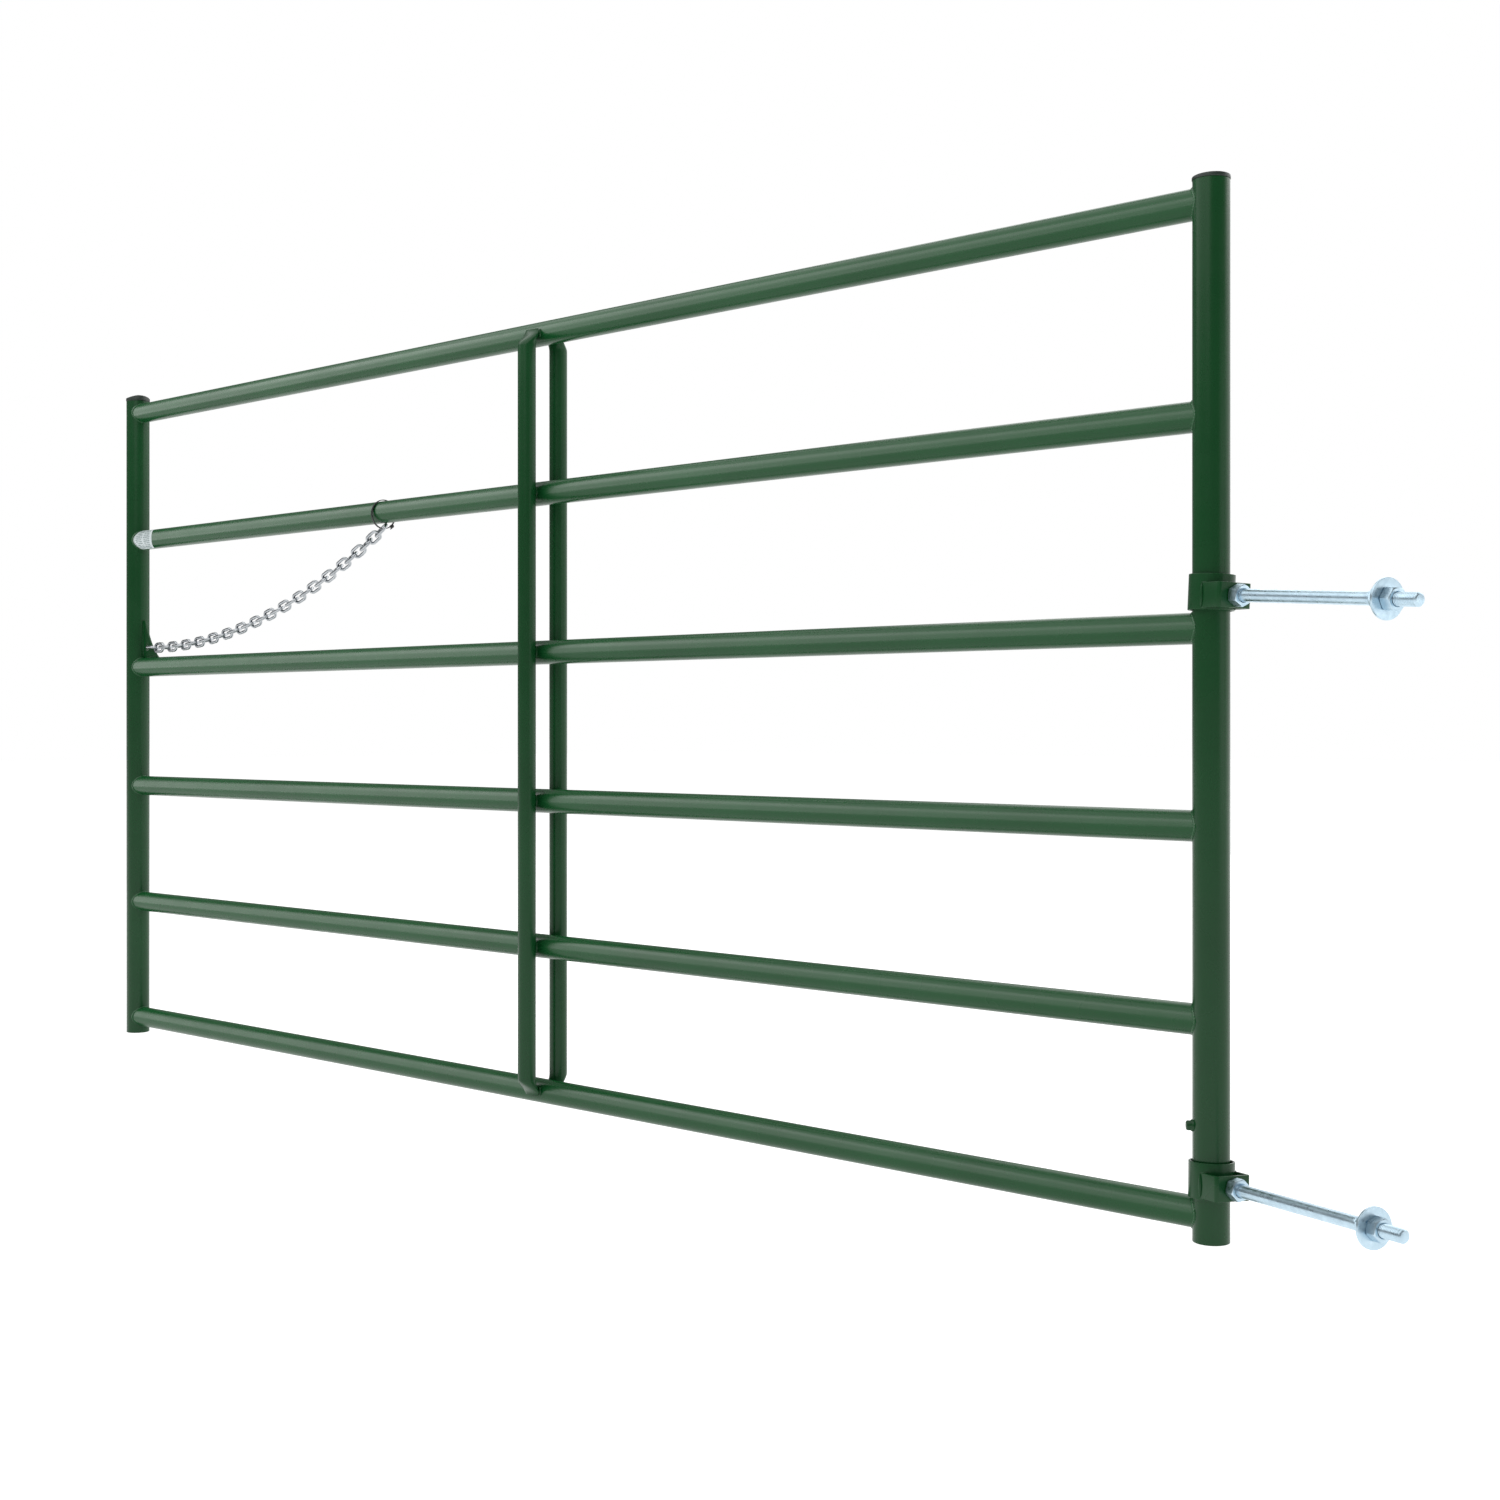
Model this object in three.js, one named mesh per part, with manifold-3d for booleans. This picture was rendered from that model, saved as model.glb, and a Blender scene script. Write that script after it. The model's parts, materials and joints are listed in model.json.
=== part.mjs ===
// Livestock panel gate: an 8 ft, six-rail welded tube gate with two stays, two wrap-round hinges on long
// bolts, and the latch chain held by a cable tie.
// Millimetres, +Z up. +X runs from the latch end to the hinge end, and -Y is the front.
// The origin is on the hinge axis, at mid-height of the lower hinge's collar.
import * as THREE from "three";
import { mergeVertices } from "three/addons/utils/BufferGeometryUtils.js";
import Module from "manifold-3d";

const wasm = await Module();
wasm.setup();

// ---------------------------------------------------------------- driving dimensions
const GAP = 0.3; // between pieces that touch
const ROUND = 28; // sides of an upright, collar or bolt

// Panel
const PANEL_LENGTH = 2394; // between the two upright axes
const UPRIGHT_LENGTH = 1266;
const UPRIGHT_R = 22.2;
const UPRIGHT_WALL = 1.8;
const RAIL_R = 19.05;
const RAIL_WALL = 1.5;
const RAIL_SIDES = 20;
const BOTTOM_RAIL_RISE = 32; // bottom rail's centre above the uprights' lower ends
const TOP_RAIL_DROP = 25; // top rail's centre below the uprights' upper ends
const RAIL_STEPS = [231, 232, 237, 254, 255]; // spacing pattern from the bottom up, scaled to the span

// Upright caps
const CAP_LIP = 0.7; // flange beyond the tube
const CAP_PLUG = 12;
const LATCH_CAP = { flange: 8, dome: 5 };
const HINGE_CAP = { flange: 4, dome: 2.8 };

// Stays: tubes welded to the front and the back of every rail, crimped flat at both ends
const STAY_R = 14.3;
const STAY_WALL = 1.5;
const STAY_SIDES = 14;
const STAY_CRIMP = 28; // length over which an end goes from round to flat
const STAY_FLAT = 3; // half-thickness of a crimped end
const STAY_SPREAD = 1.3; // a crimped end's width over the tube's diameter
const STAY_INSET = 4; // end of a stay from the outer rail's centre line, outwards
const STAY_FROM_HINGE = 1185; // stays' centre line from the hinge axis

// Hinges
const COLLAR_HEIGHT = 43;
const COLLAR_WALL = 2.8;
const COLLAR_SHIFT = 0.7; // how far the bolt's weight pulls the loose collar off the axis
const BRACKET_HEIGHT = 30;
const BRACKET_WALL = 3.6;
const BRACKET_WIDTH = 49; // over both arms
const BRACKET_OVERLAP = 1; // arm ends' grip on the collar
const BRACKET_DROP = 4.5; // bracket and bolt below the collar's mid-height
const BOLT_R = 7.94;
const BOLT_HOLE_PLAY = 0.8;
const BOLT_TIP_REACH = 335; // tip from the hinge axis
const BOLT_CHAMFER = 2;
const HEAD_THICKNESS = 10;
const NUT_FLATS = 23.8;
const NUT_THICKNESS = 13.9;
const WASHER_R = 23;
const WASHER_THICKNESS = 3.4;
const WASHER_REACH = 289; // washer's outer face from the hinge axis
// Azimuth is towards the front from the panel's own line. Lean and the collar's droop are what the loose
// collar allows, and the rest of the bolt's droop is its play in the bracket's hole.
const HINGES = [
  { name: "upper", onRail: 3, azimuth: 22, lean: 2, collarDroop: 1.2, boltDroop: 4.3, turns: [30, 12, 0] },
  { name: "lower", onRail: 0, azimuth: 25.7, lean: 2.5, collarDroop: -2.8, boltDroop: -2.8, turns: [15, 40, 20] },
];

// Stop welded to the hinge upright, which carries the gate's weight on the lower collar when it is hung
const STOP_R = 6;
const STOP_LENGTH = 7.5;
const STOP_RISE = 63.5; // above the lower collar's mid-height
const STOP_AZIMUTH = 218; // from +X, anticlockwise seen from above

// Chain, its plate and its tie
const PLATE_THICKNESS = 4;
const PLATE_WIDTH = 54;
const PLATE_HEIGHT = 74;
const PLATE_HOLE_R = 6;
const PLATE_HOLE_X = 15.3; // from the upright's surface
const PLATE_HOLE_Z = 18.7; // above the rail's surface
const LINKS = 33;
const LINK_WIRE_R = 2.75;
const LINK_SIDES = 10;
const LINK_INSIDE_LENGTH = 24.3;
const LINK_INSIDE_WIDTH = 10.2;
const LINK_FIRST_ROLL = -100; // first link's normal from +Y
const LINK_TURN = 91.9; // from each link to the next, so the chain is gently twisted
const CHAIN_LEAVING = -1.518; // degrees above level at which the chain leaves its plate
const CHAIN_END_BELOW_RAIL = 6.4; // last link's seat below rail 2
const TIE_WIDTH = 4.8;
const TIE_THICKNESS = 1.3;
const TIE_YAW = 12; // the tie's plane, turned from square across the rail
const TIE_SLACK = 1.6;
const TIE_SEAT = 4.6; // band's centre from the inside of the last link's end
const TIE_DROP = 0.8; // band's lowest point below the middle of the link it holds
const TIE_HEAD_SIDE = 0.7; // head's place on the band's rear half, from below to level
const TIE_HEAD = [6.2, 5.6, 4.6];

// ---------------------------------------------------------------- sizes that follow from them
const rad = THREE.MathUtils.degToRad;
const tiltOf = (h) => Math.acos(Math.cos(rad(h.collarDroop)) * Math.cos(rad(h.lean)));
const MOST_TILT = Math.max(...HINGES.map(tiltOf));
const COLLAR_INNER_R = UPRIGHT_R + (COLLAR_HEIGHT / 2) * Math.tan(MOST_TILT) + COLLAR_SHIFT + GAP;
const COLLAR_OUTER_R = COLLAR_INNER_R + COLLAR_WALL;

const railSpan = UPRIGHT_LENGTH - BOTTOM_RAIL_RISE - TOP_RAIL_DROP;
const stepTotal = RAIL_STEPS.reduce((sum, step) => sum + step, 0);
const railRises = [BOTTOM_RAIL_RISE];
for (const step of RAIL_STEPS) railRises.push(railRises.at(-1) + (railSpan * step) / stepTotal);

// Height of a collar that sits tilted on a rail, above the uprights' lower ends
const collarRise = (h) =>
  railRises[h.onRail] + RAIL_R + GAP + COLLAR_HEIGHT / 2 + COLLAR_OUTER_R * Math.sin(tiltOf(h));
const FOOT = -collarRise(HINGES[1]); // the uprights' lower ends in the part's frame
const railZ = railRises.map((rise) => FOOT + rise);

const LINK_PITCH = LINK_INSIDE_LENGTH - GAP;
const chainLength = LINKS * LINK_PITCH;
const latchX = -PANEL_LENGTH;

// ---------------------------------------------------------------- materials
const paint = (color) => new THREE.MeshStandardMaterial({ color, roughness: 0.28, metalness: 0.1 });
const zinc = (color) => new THREE.MeshStandardMaterial({ color, roughness: 0.35, metalness: 0.9 });
const plastic = (color) => new THREE.MeshStandardMaterial({ color, roughness: 0.55, metalness: 0 });
const GREEN = 0x1f4a2c;
const ZINC = 0xb9c6cc;
const BLACK = 0x141816;

// ---------------------------------------------------------------- solids
function solid(geometry) {
  const bare = new THREE.BufferGeometry();
  bare.setAttribute("position", geometry.getAttribute("position"));
  bare.setIndex(geometry.index);
  const merged = mergeVertices(bare, 1e-4);
  return new wasm.Manifold(
    new wasm.Mesh({
      numProp: 3,
      vertProperties: merged.getAttribute("position").array,
      triVerts: new Uint32Array(merged.index.array),
    }),
  );
}

function geometryOf(manifold) {
  const mesh = manifold.getMesh();
  const geometry = new THREE.BufferGeometry();
  geometry.setAttribute("position", new THREE.BufferAttribute(mesh.vertProperties, 3));
  geometry.setIndex(new THREE.BufferAttribute(mesh.triVerts, 1));
  return geometry;
}

// A profile of [radius, height] points, turned about +Z
function turned(points, sides = ROUND) {
  const profile = points.map(([r, z]) => new THREE.Vector2(r, z));
  return new THREE.LatheGeometry(profile, sides).rotateX(Math.PI / 2);
}

// A solid rod or a tube along +Z, from z = 0
function rod(r, length, sides = ROUND) {
  return turned([[0, 0], [r, 0], [r, length], [0, length]], sides);
}
function tube(outer, inner, length, sides = ROUND) {
  return turned([[inner, 0], [outer, 0], [outer, length], [inner, length], [inner, 0]], sides);
}

// Turns a piece made along +Z to lie along +X
const alongX = (geometry) => geometry.rotateY(Math.PI / 2);

function hexagon(flats, thickness, turn) {
  const corner = flats / Math.sqrt(3);
  return new THREE.CylinderGeometry(corner, corner, thickness, 6)
    .rotateY(rad(turn))
    .rotateX(Math.PI / 2)
    .translate(0, 0, thickness / 2);
}

const gate = new THREE.Group();
function add(name, geometry, material, parent = gate) {
  const mesh = new THREE.Mesh(geometry, material);
  mesh.name = name;
  parent.add(mesh);
  return mesh;
}

// ---------------------------------------------------------------- uprights and caps
function upright(name, x) {
  const body = tube(UPRIGHT_R, UPRIGHT_R - UPRIGHT_WALL, UPRIGHT_LENGTH);
  add(name, body, paint(GREEN)).position.set(x, 0, FOOT);
}

function cap(name, x, top) {
  const plug = UPRIGHT_R - UPRIGHT_WALL - GAP;
  const lip = UPRIGHT_R + CAP_LIP;
  const body = turned([
    [0, -CAP_PLUG],
    [plug, -CAP_PLUG],
    [plug, GAP],
    [lip, GAP],
    [lip, top.flange],
    [lip * 0.8, top.flange + top.dome * 0.7],
    [0, top.flange + top.dome],
  ]);
  add(name, body, plastic(BLACK)).position.set(x, 0, FOOT + UPRIGHT_LENGTH);
}

upright("latch_upright", latchX);
upright("hinge_upright", 0);
cap("latch_upright_cap", latchX, LATCH_CAP);
cap("hinge_upright_cap", 0, HINGE_CAP);

// ---------------------------------------------------------------- rails, coped to fit the uprights
const RAIL_NAMES = ["bottom_rail", "rail_5", "rail_4", "rail_3", "rail_2", "top_rail"];

function rail(name, z) {
  const body = alongX(tube(RAIL_R, RAIL_R - RAIL_WALL, PANEL_LENGTH, RAIL_SIDES));
  const reach = 2 * RAIL_R;
  const cutter = (x) => rod(UPRIGHT_R + GAP, 2 * reach).translate(x, 0, -reach);
  const coped = solid(body).subtract(solid(cutter(0))).subtract(solid(cutter(PANEL_LENGTH)));
  add(name, geometryOf(coped), paint(GREEN)).position.set(latchX, 0, z);
}

RAIL_NAMES.forEach((name, i) => rail(name, railZ[i]));

// ---------------------------------------------------------------- stays
const stayFoot = railZ[0] - STAY_INSET;
const stayTop = railZ.at(-1) + STAY_INSET;

// A stay's outside, or its bore when inset is the wall. Its inner side keeps to one line along the rails.
function stayBody(inset, overrun) {
  const length = stayTop - stayFoot;
  const crimp = [0, 0.2, 0.45, 0.7, 0.88, 1].map((share) => share * STAY_CRIMP);
  const levels = [...crimp, ...crimp.map((level) => length - level).reverse()];
  const geometry = new THREE.CylinderGeometry(1, 1, 1, STAY_SIDES, levels.length - 1);
  const place = geometry.getAttribute("position");
  for (let i = 0; i < place.count; i += 1) {
    const ring = Math.round((place.getY(i) + 0.5) * (levels.length - 1));
    const fromEnd = Math.min(levels[ring], length - levels[ring]);
    const round = THREE.MathUtils.smoothstep(fromEnd, 0, STAY_CRIMP);
    const depth = THREE.MathUtils.lerp(STAY_FLAT, STAY_R, round);
    const width = THREE.MathUtils.lerp(STAY_R * STAY_SPREAD, STAY_R, round);
    const past = ring === 0 ? -overrun : ring === levels.length - 1 ? overrun : 0;
    place.setXYZ(
      i,
      place.getX(i) * (width - inset),
      -place.getZ(i) * (depth - Math.min(inset, STAY_FLAT * 0.6)) - depth,
      levels[ring] + past,
    );
  }
  return geometry.translate(0, -RAIL_R - GAP, stayFoot);
}

function stay(name, turn) {
  const body = geometryOf(solid(stayBody(0, 0)).subtract(solid(stayBody(STAY_WALL, 1))));
  const mesh = add(name, body, paint(GREEN));
  mesh.position.x = -STAY_FROM_HINGE;
  mesh.rotation.z = turn;
}

stay("front_stay", 0);
stay("rear_stay", Math.PI);

// ---------------------------------------------------------------- hinges
const mostPlay = Math.max(...HINGES.map((h) => Math.abs(h.boltDroop - h.collarDroop)));
const room = GAP + (NUT_FLATS / Math.sqrt(3)) * Math.tan(rad(mostPlay)); // for a bolt askew in its hole
const headBack = COLLAR_OUTER_R + COLLAR_SHIFT + room;
const webInside = headBack + HEAD_THICKNESS + room;
const webOutside = webInside + BRACKET_WALL;
const boltHole = new THREE.Vector3(webInside + BRACKET_WALL / 2, 0, -BRACKET_DROP);

// The collar and its U-shaped bracket are one welded piece. In a hinge's own frame +X is along the bolt.
function collar() {
  const bore = solid(rod(COLLAR_INNER_R, 2 * COLLAR_HEIGHT).translate(COLLAR_SHIFT, 0, -COLLAR_HEIGHT));
  const band = solid(rod(COLLAR_OUTER_R, COLLAR_HEIGHT).translate(COLLAR_SHIFT, 0, -COLLAR_HEIGHT / 2));
  const halfWidth = Math.min(BRACKET_WIDTH / 2, COLLAR_OUTER_R);
  const armInside = halfWidth - BRACKET_WALL;
  const armStart = Math.sqrt(COLLAR_OUTER_R ** 2 - halfWidth ** 2) - BRACKET_OVERLAP;
  const outline = new THREE.Shape([
    new THREE.Vector2(armStart, -halfWidth),
    new THREE.Vector2(webOutside, -halfWidth),
    new THREE.Vector2(webOutside, halfWidth),
    new THREE.Vector2(armStart, halfWidth),
    new THREE.Vector2(armStart, armInside),
    new THREE.Vector2(webInside, armInside),
    new THREE.Vector2(webInside, -armInside),
    new THREE.Vector2(armStart, -armInside),
  ]);
  const strap = new THREE.ExtrudeGeometry(outline, { depth: BRACKET_HEIGHT, bevelEnabled: false });
  const bracket = solid(strap.translate(0, 0, -BRACKET_HEIGHT / 2 - BRACKET_DROP));
  const hole = rod(BOLT_R + BOLT_HOLE_PLAY, 4 * BRACKET_WALL);
  const holeCutter = solid(alongX(hole).translate(webInside - BRACKET_WALL, 0, -BRACKET_DROP));
  return geometryOf(band.add(bracket).subtract(bore).subtract(holeCutter));
}

function hingeBolt() {
  const length = BOLT_TIP_REACH - headBack;
  const shank = turned([
    [0, 0],
    [BOLT_R, 0],
    [BOLT_R, length - BOLT_CHAMFER],
    [BOLT_R - BOLT_CHAMFER, length],
    [0, length],
  ]);
  const head = hexagon(NUT_FLATS, HEAD_THICKNESS, 0);
  return alongX(geometryOf(solid(shank).add(solid(head)))).translate(headBack, 0, -BRACKET_DROP);
}

function nut(reach, turn) {
  const bore = solid(rod(BOLT_R + GAP, 3 * NUT_THICKNESS).translate(0, 0, -NUT_THICKNESS));
  const body = geometryOf(solid(hexagon(NUT_FLATS, NUT_THICKNESS, turn)).subtract(bore));
  return alongX(body).translate(reach, 0, -BRACKET_DROP);
}

function washer() {
  const body = tube(WASHER_R, BOLT_R + BOLT_HOLE_PLAY, WASHER_THICKNESS);
  return alongX(body).translate(WASHER_REACH - WASHER_THICKNESS, 0, -BRACKET_DROP);
}

function hingeGroup(h, droop) {
  const group = new THREE.Group();
  group.position.z = FOOT + collarRise(h);
  group.rotation.set(-rad(h.lean), rad(droop), -rad(h.azimuth), "ZYX");
  gate.add(group);
  return group;
}

function hinge(h) {
  const collarGroup = hingeGroup(h, h.collarDroop);
  add(h.name + "_hinge_collar", collar(), paint(GREEN), collarGroup);
  const group = hingeGroup(h, h.boltDroop);
  group.position.add(boltHole.clone().applyEuler(collarGroup.rotation));
  group.position.sub(boltHole.clone().applyEuler(group.rotation));
  const innerReach = WASHER_REACH - WASHER_THICKNESS - GAP - NUT_THICKNESS;
  add(h.name + "_hinge_bolt", hingeBolt(), zinc(ZINC), group);
  add(h.name + "_lock_nut", nut(webOutside + room, h.turns[0]), zinc(ZINC), group);
  add(h.name + "_inner_nut", nut(innerReach, h.turns[1]), zinc(ZINC), group);
  add(h.name + "_washer", washer(), zinc(ZINC), group);
  add(h.name + "_outer_nut", nut(WASHER_REACH + GAP, h.turns[2]), zinc(ZINC), group);
}

HINGES.forEach(hinge);

// ---------------------------------------------------------------- stop above the lower collar
function stop() {
  const body = turned(
    [
      [0, 0],
      [STOP_R, 0],
      [STOP_R, STOP_LENGTH * 0.7],
      [STOP_R * 0.75, STOP_LENGTH * 0.93],
      [0, STOP_LENGTH],
    ],
    16,
  );
  const group = new THREE.Group();
  group.rotation.z = rad(STOP_AZIMUTH);
  gate.add(group);
  const mesh = add("lift_stop", alongX(body), paint(GREEN), group);
  mesh.position.set(UPRIGHT_R + GAP, 0, STOP_RISE);
}

stop();

// ---------------------------------------------------------------- chain plate, in the corner over rail 3
const plateX = latchX + UPRIGHT_R + GAP;
const plateZ = railZ[3] + RAIL_R + GAP;

function chainPlate() {
  const outline = new THREE.Shape();
  outline.moveTo(0, 0);
  outline.lineTo(PLATE_WIDTH, 0);
  outline.quadraticCurveTo(PLATE_WIDTH * 0.45, PLATE_HEIGHT * 0.28, PLATE_WIDTH * 0.12, PLATE_HEIGHT);
  outline.lineTo(0, PLATE_HEIGHT);
  outline.closePath();
  const hole = new THREE.Path();
  hole.absarc(PLATE_HOLE_X, PLATE_HOLE_Z, PLATE_HOLE_R, 0, 2 * Math.PI, true);
  outline.holes.push(hole);
  const options = { depth: PLATE_THICKNESS, bevelEnabled: false, curveSegments: 8 };
  const body = new THREE.ExtrudeGeometry(outline, options).rotateX(Math.PI / 2);
  add("chain_plate", body, paint(GREEN)).position.set(plateX, PLATE_THICKNESS / 2, plateZ);
}

chainPlate();

// ---------------------------------------------------------------- chain
// The first link pulls on the hole's far wall. The last one sits in the tie, under rail 2.
const seatCurve = (PLATE_THICKNESS / 2) * Math.tan(Math.PI / LINK_SIDES);
const chainStart = new THREE.Vector3(
  plateX + PLATE_HOLE_X + PLATE_HOLE_R - seatCurve - GAP / 2,
  0,
  plateZ + PLATE_HOLE_Z,
);
const chainRise = railZ[4] - RAIL_R - CHAIN_END_BELOW_RAIL - chainStart.z;

// A hanging chain's slope grows evenly along it. The larger the scale, the straighter the chain.
const firstSlope = Math.tan(rad(CHAIN_LEAVING));
const climb = (scale, along) =>
  scale * (Math.hypot(1, firstSlope + along / scale) - Math.hypot(1, firstSlope));
let chainScale = 10;
let straighter = 1e6;
for (let i = 0; i < 80; i += 1) {
  const guess = (chainScale + straighter) / 2;
  if (climb(guess, chainLength) > chainRise) chainScale = guess;
  else straighter = guess;
}

// The point at a given length along the chain
function chainPoint(along) {
  const bend = Math.asinh(firstSlope + along / chainScale) - Math.asinh(firstSlope);
  const x = chainStart.x + chainScale * bend;
  return new THREE.Vector3(x, 0, chainStart.z + climb(chainScale, along));
}

// One link in its own frame: long in X, flat in the XY plane. A ring torus, pulled apart at the middle.
function linkBody() {
  const bend = LINK_INSIDE_WIDTH / 2 + LINK_WIRE_R;
  const straight = LINK_INSIDE_LENGTH / 2 + LINK_WIRE_R - bend;
  const geometry = new THREE.TorusGeometry(bend, LINK_WIRE_R, 6, LINK_SIDES);
  const place = geometry.getAttribute("position");
  for (let i = 0; i < place.count; i += 1) {
    place.setX(i, place.getX(i) + Math.sign(place.getX(i)) * straight);
  }
  return geometry;
}

const linkEnds = [];
for (let i = 0; i <= LINKS; i += 1) linkEnds.push(chainPoint(i * LINK_PITCH));

for (let i = 0; i < LINKS; i += 1) {
  const [from, to] = [linkEnds[i], linkEnds[i + 1]];
  const along = to.clone().sub(from).normalize();
  const back = new THREE.Vector3(0, 1, 0);
  const up = along.clone().cross(back);
  const roll = rad(LINK_FIRST_ROLL + i * LINK_TURN);
  const normal = back.multiplyScalar(Math.cos(roll)).addScaledVector(up, Math.sin(roll));
  const across = normal.clone().cross(along);
  const name = "chain_link_" + String(i + 1).padStart(2, "0");
  const mesh = add(name, linkBody(), zinc(ZINC));
  mesh.setRotationFromMatrix(new THREE.Matrix4().makeBasis(along, across, normal));
  mesh.position.copy(from).add(to).multiplyScalar(0.5);
}

// ---------------------------------------------------------------- cable tie round rail 2
function ellipseShape(across, down, Kind = THREE.Shape) {
  const outline = new Kind();
  outline.absellipse(0, 0, across, down, 0, 2 * Math.PI, false, 0);
  return outline;
}

function cableTie() {
  const along = linkEnds.at(-1).clone().sub(linkEnds.at(-2)).normalize();
  const yaw = rad(TIE_YAW);
  const seat = linkEnds.at(-1).clone().addScaledVector(along, -TIE_SEAT);
  seat.z -= TIE_DROP;
  const below = railZ[4] - seat.z - TIE_THICKNESS / 2;
  const above = RAIL_R + TIE_SLACK;
  const down = (above + below) / 2;
  const sideways = (RAIL_R + (TIE_WIDTH / 2) * Math.sin(yaw) + TIE_SLACK) / Math.cos(yaw);
  const outline = ellipseShape(sideways + TIE_THICKNESS, down + TIE_THICKNESS);
  outline.holes.push(ellipseShape(sideways, down, THREE.Path));
  const options = { depth: TIE_WIDTH, bevelEnabled: false, curveSegments: 14 };
  const band = new THREE.ExtrudeGeometry(outline, options).translate(0, 0, -TIE_WIDTH / 2);
  const headX = sideways * TIE_HEAD_SIDE;
  const headZ = -(down + TIE_THICKNESS) * Math.sqrt(1 - TIE_HEAD_SIDE ** 2) - TIE_HEAD[2] * 0.3;
  const head = new THREE.BoxGeometry(TIE_HEAD[0], TIE_HEAD[2], TIE_HEAD[1]).translate(headX, headZ, 0);
  const body = geometryOf(solid(band).add(solid(head))).rotateX(Math.PI / 2);
  const mesh = add("cable_tie", body, plastic(BLACK));
  mesh.rotation.z = Math.PI / 2 - yaw;
  mesh.position.set(seat.x, 0, railZ[4] + (above - below) / 2);
}

cableTie();

export default gate;
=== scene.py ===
"""Looks for the livestock panel gate: smooth tubes, welds, caps, hinges, threaded bolts, chain and label.

Metres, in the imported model's frame: +X towards the hinge end, -Y the front, +Z up. The hinge axis is Z.
Shapes are written in millimetres and scaled once, where a mesh is made.
"""
import json
import math

import bmesh
import bpy
import numpy as np
from mathutils import Matrix, Vector

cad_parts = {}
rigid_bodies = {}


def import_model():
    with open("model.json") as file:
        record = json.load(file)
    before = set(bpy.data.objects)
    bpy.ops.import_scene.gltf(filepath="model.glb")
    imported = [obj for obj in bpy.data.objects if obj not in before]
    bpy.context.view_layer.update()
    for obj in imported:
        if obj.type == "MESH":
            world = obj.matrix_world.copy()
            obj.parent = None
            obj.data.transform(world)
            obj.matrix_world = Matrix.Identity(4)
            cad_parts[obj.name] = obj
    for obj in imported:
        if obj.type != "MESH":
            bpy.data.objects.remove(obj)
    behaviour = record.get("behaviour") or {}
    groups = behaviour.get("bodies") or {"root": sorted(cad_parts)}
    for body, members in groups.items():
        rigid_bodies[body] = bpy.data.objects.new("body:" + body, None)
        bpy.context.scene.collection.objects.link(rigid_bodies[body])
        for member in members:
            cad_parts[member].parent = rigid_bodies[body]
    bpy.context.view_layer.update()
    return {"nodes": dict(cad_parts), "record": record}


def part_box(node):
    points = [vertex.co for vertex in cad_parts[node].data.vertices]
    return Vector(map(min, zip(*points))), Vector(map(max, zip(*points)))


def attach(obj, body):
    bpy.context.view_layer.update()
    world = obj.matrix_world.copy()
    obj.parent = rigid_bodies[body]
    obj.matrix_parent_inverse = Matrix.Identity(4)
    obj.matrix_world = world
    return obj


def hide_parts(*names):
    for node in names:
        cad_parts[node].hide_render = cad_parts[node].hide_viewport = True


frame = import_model()
BODIES = frame["record"]["behaviour"]["bodies"]
MM = 0.001

# ------------------------------------------------------------------ sizes, as in the CAD, in millimetres
UPRIGHT_R = 22.2
UPRIGHT_WALL = 1.8
RAIL_R = 19.05
RAIL_WALL = 1.5
CAP_LIP = 0.7
CAP_PLUG = 12
STAY_R = 14.3
STAY_CRIMP = 28
STAY_FLAT = 3
STAY_SPREAD = 1.3
GAP = 0.3
COLLAR_HEIGHT = 43
COLLAR_WALL = 2.8
COLLAR_SHIFT = 0.7
BRACKET_WIDTH = 49
BRACKET_HEIGHT = 30
BRACKET_WALL = 3.6
BOLT_DROP = 4.5
HEAD_THICKNESS = 10
BOLT_R = 7.94
BOLT_TIP = 335
BOLT_CHAMFER = 2
THREAD_PITCH = 2.31
THREAD_DEPTH = 0.6
THREADED = [(45, 61), (262, BOLT_TIP - 2.5)]  # stretches, from the hinge axis
NUT_FLATS = 23.8
NUT_THICKNESS = 13.9
WASHER_R = 23
WASHER_THICKNESS = 3.4
WASHER_REACH = 289
STOP_R = 6
LINK_WIRE_R = 2.75
LINK_INSIDE = (24.3, 10.2)
PLATE_THICKNESS = 4
PLATE_WIDTH = 54
PLATE_HEIGHT = 74
PLATE_HOLE = (15.3, 18.7)
PLATE_HOLE_R = 6
TIE_WIDTH = 4.8
TIE_THICKNESS = 1.3
TIE_YAW = 12
LABEL_START = 3.5  # from rail 2's coped end
LABEL_END_X = 82  # from the latch upright's axis
LABEL_SWEEP = 150  # degrees of the rail's front
LABEL_THICKNESS = 0.15
# Each hinge: collar's height on the axis, then its angles and its nuts' turns in degrees
HINGES = {
    "upper": {"height": 699.32, "azimuth": 22, "lean": 2, "collar": 1.2, "bolt": 4.3, "turns": (30, 12, 0)},
    "lower": {"height": 0, "azimuth": 25.7, "lean": 2.5, "collar": -2.8, "bolt": -2.8, "turns": (15, 40, 20)},
}


def collar_tilt(hinge):
    """How far a hinge's collar leans away from the upright's axis, in radians."""
    droop = math.radians(hinge["collar"])
    return math.acos(math.cos(droop) * math.cos(math.radians(hinge["lean"])))


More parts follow.
